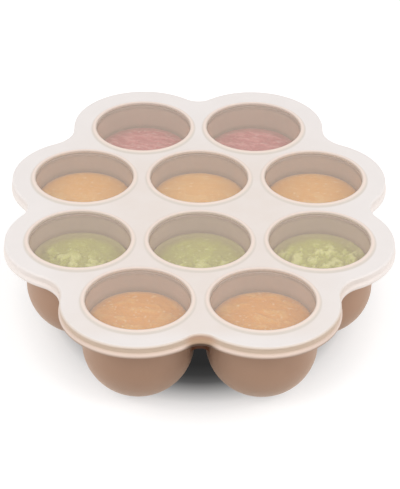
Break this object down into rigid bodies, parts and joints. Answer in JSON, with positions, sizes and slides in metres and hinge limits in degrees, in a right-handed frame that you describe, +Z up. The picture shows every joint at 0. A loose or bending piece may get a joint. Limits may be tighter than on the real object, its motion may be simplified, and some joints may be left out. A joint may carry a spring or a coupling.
{
  "type": "baby food freezer tray",
  "caption": "Soft freezer tray with round-bottomed cups under a petal-shaped flange, closed by a milky lift-off lid with clear round windows, holding portions of puree.",
  "frame": {"origin": "on the table under the middle of the tray, at the centre of the bounding box's bottom", "axes": "+Z up, +X to the right along the two rows of three cups, -Y towards the front row of two cups"},
  "size_m": [0.1964, 0.244, 0.0515],
  "materials": {
    "tray_silicone": "matt taupe silicone",
    "lid_silicone": "milky translucent silicone, frosted plate with clear windows",
    "berry_puree": "moist puree",
    "carrot_puree": "moist puree",
    "pea_puree": "moist puree with soft lumps"
  },
  "bodies": {
    "tray_body": {"tray": "tray_silicone", "berry_puree_left": "berry_puree", "berry_puree_right": "berry_puree", "carrot_puree_left": "carrot_puree", "carrot_puree_middle": "carrot_puree", "carrot_puree_right": "carrot_puree", "pea_puree_left": "pea_puree", "pea_puree_middle": "pea_puree", "pea_puree_right": "pea_puree", "carrot_puree_front_left": "carrot_puree", "carrot_puree_front_right": "carrot_puree"},
    "lid_body": {"lid": "lid_silicone"}
  },
  "joints": [
    {"name": "lid_lift", "type": "slide", "parent": "tray_body", "child": "lid_body", "axis": [0, 0, 1], "range_m": [0, 0.08]}
  ]
}
